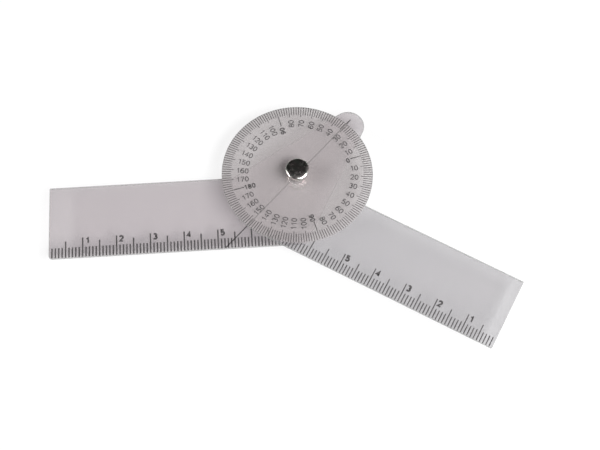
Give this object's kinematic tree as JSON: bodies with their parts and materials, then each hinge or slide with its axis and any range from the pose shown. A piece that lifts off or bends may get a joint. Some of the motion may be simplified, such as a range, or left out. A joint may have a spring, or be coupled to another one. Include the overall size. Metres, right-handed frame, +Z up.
{
  "type": "angle finder with arms",
  "caption": "Clear plastic angle finder: a printed dial sheet with a ruler arm and a pointer sheet with a ruler arm turn on a double-cap rivet.",
  "frame": {"origin": "on the pivot's axis, in the plane that the rear cap of the rivet rests on", "axes": "+Z up the rivet towards the dial's printed face, +X along the dial arm, +Y away from its ruler edge"},
  "size_m": [0.1386, 0.0863, 0.0089],
  "materials": {
    "clear_plastic": "clear polished sheet, faintly grey, with bright cut edges",
    "ink": "dark grey screen printing",
    "nickel": "bright nickel plating, pressed sheet metal",
    "rivet_steel": "turned and plated"
  },
  "bodies": {
    "dial": {"dial_sheet": "clear_plastic", "dial_degree_lines": "ink", "dial_ten_lines": "ink", "dial_main_lines": "ink", "dial_ruler_lines": "ink", "rivet_front_cap": "nickel", "rivet_tube": "rivet_steel", "rivet_stem": "rivet_steel", "rivet_rear_cap": "nickel"},
    "index": {"index_sheet": "clear_plastic", "index_ruler_lines": "ink", "index_reading_line": "ink"}
  },
  "joints": [
    {"name": "index_turn", "type": "hinge", "parent": "dial", "child": "index", "pos_m": [0, 0, 0], "axis": [0, 0, 1], "continuous": true}
  ]
}
